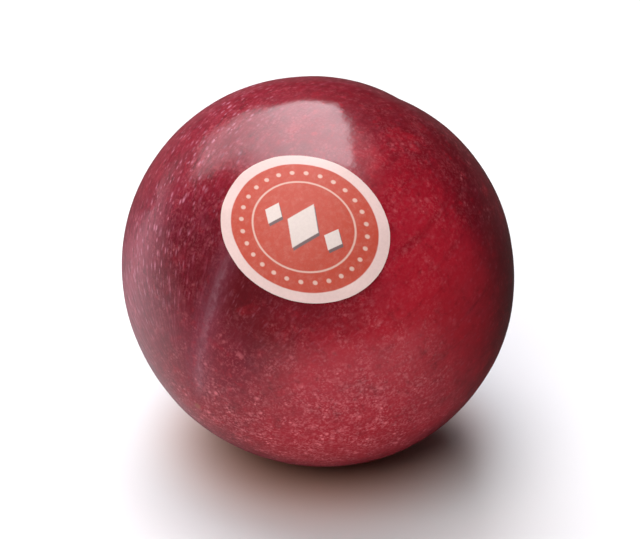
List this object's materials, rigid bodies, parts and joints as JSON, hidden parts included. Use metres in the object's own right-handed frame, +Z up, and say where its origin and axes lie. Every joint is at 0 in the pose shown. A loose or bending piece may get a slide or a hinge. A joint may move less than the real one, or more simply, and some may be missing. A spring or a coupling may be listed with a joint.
{
  "type": "plum",
  "caption": "Ripe dark red plum lying on its side on a small flat spot, with a stem cavity, a shallow suture and an oval paper label with a plain ring pattern.",
  "frame": {"origin": "on the flat spot that the fruit lies on, below the middle of the fruit", "axes": "+Z up, away from what it lies on; -Y towards the side with the label; the stem end points to the back right, between +X and +Y, and about 20 degrees up"},
  "size_m": [0.0592, 0.0587, 0.0588],
  "materials": {
    "skin": "satin",
    "label": "satin"
  },
  "bodies": {
    "root": {"plum_fruit": "skin", "oval_label": "label"}
  },
  "joints": []
}
